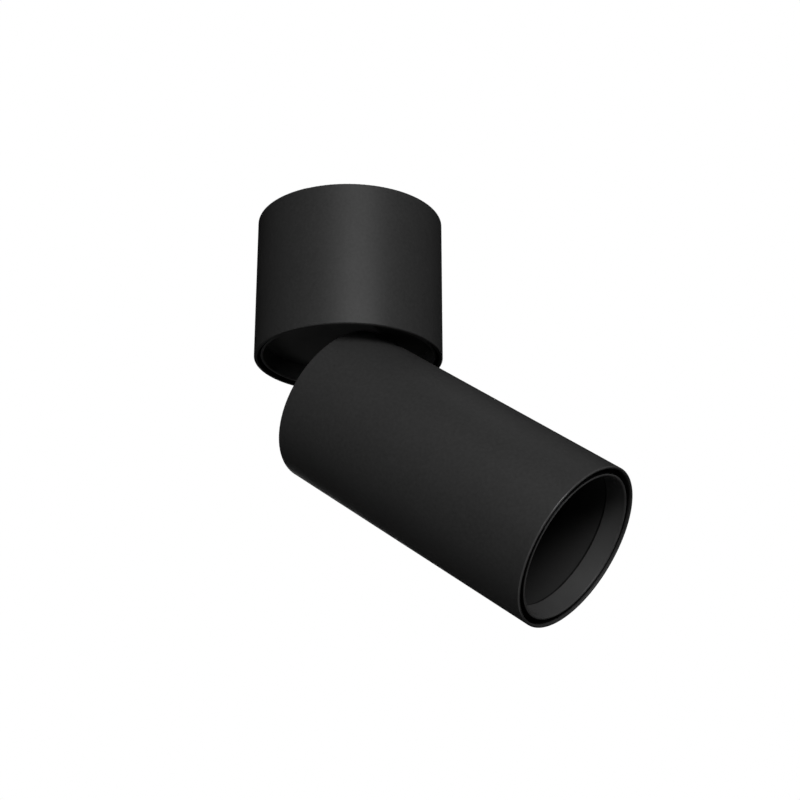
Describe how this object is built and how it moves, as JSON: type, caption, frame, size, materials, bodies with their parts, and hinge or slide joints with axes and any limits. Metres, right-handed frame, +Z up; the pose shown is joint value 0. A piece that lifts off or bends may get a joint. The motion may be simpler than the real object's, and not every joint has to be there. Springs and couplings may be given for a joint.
{
  "type": "surface-mounted ceiling spotlight",
  "caption": "Matte black ceiling spotlight: a round base with a recessed turntable and a slim tilting cylinder head with a deep-set lamp.",
  "frame": {"origin": "middle of the base's ceiling face, between the bracket's two slots", "axes": "+Z up into the ceiling, +X the way the head points in the stored pose, Y along the tilt axis and along the bracket's slots"},
  "size_m": [0.1393, 0.07, 0.1615],
  "materials": {
    "black_powder_coat": "fine matte black powder coat on aluminium",
    "black_anodised": "satin black anodised aluminium",
    "black_baffle": "dull black moulded plastic",
    "black_steel": "blackened steel",
    "zinc_steel": "bright zinc plated steel",
    "spring_steel": "hardened spring steel",
    "brass": "plain brass",
    "nickel_pin": "nickel plated pin",
    "nylon": "natural nylon",
    "terminal_plastic": "white moulded terminal plastic",
    "rubber": "black rubber",
    "silicone_sleeve": "white glass-fibre and silicone sleeve",
    "core_insulation": "silicone wire insulation",
    "ceramic": "unglazed lampholder ceramic",
    "lamp_plastic": "white moulded lamp housing",
    "lamp_glass": "frosted lens"
  },
  "bodies": {
    "base": {"base_shell": "black_powder_coat", "ceiling_bracket": "zinc_steel", "cable_grommet": "rubber", "earth_screw": "brass", "earth_washer": "brass", "locking_screw": "black_steel", "bearing_plate": "zinc_steel", "plate_screws": "zinc_steel", "pan_bush": "nylon", "slip_ring": "nylon", "stop_pin": "zinc_steel", "block_standoffs": "zinc_steel", "terminal_block": "terminal_plastic", "terminal_tubes": "brass", "terminal_screws": "brass", "block_screws": "zinc_steel", "base_cores": "core_insulation"},
    "turntable": {"turntable_cup": "black_anodised", "tilt_stem": "black_anodised", "stop_washer": "zinc_steel", "spring_washer": "spring_steel", "lock_nut": "brass", "stem_sleeve": "silicone_sleeve", "flex_sleeve": "silicone_sleeve", "pivot_screws": "black_steel", "pivot_springs": "spring_steel", "friction_washers": "nylon"},
    "head": {"head_tube": "black_powder_coat", "rear_cap": "black_powder_coat", "cap_screws": "black_steel", "holder_bracket": "zinc_steel", "bracket_screws": "black_steel", "lampholder": "ceramic", "holder_contacts": "brass", "holder_screws": "zinc_steel", "lamp_body": "lamp_plastic", "lamp_lens": "lamp_glass", "lamp_pins": "nickel_pin", "head_sleeve": "silicone_sleeve"},
    "front_ring": {"trim_ring": "black_anodised", "glare_baffle": "black_baffle", "ring_seal": "rubber"}
  },
  "joints": [
    {"name": "pan", "type": "hinge", "parent": "base", "child": "turntable", "pos_m": [0, 0, 0], "axis": [0, 0, 1], "range_deg": [-165, 165]},
    {"name": "tilt", "type": "hinge", "parent": "turntable", "child": "head", "pos_m": [0, 0, -0.075], "axis": [0, 1, 0], "range_deg": [-0.6, 54.4], "deforming": ["flex_sleeve"]},
    {"name": "ring_pull", "type": "slide", "parent": "head", "child": "front_ring", "axis": [0.8131, 0, -0.5821], "range_m": [0, 0.03]}
  ]
}
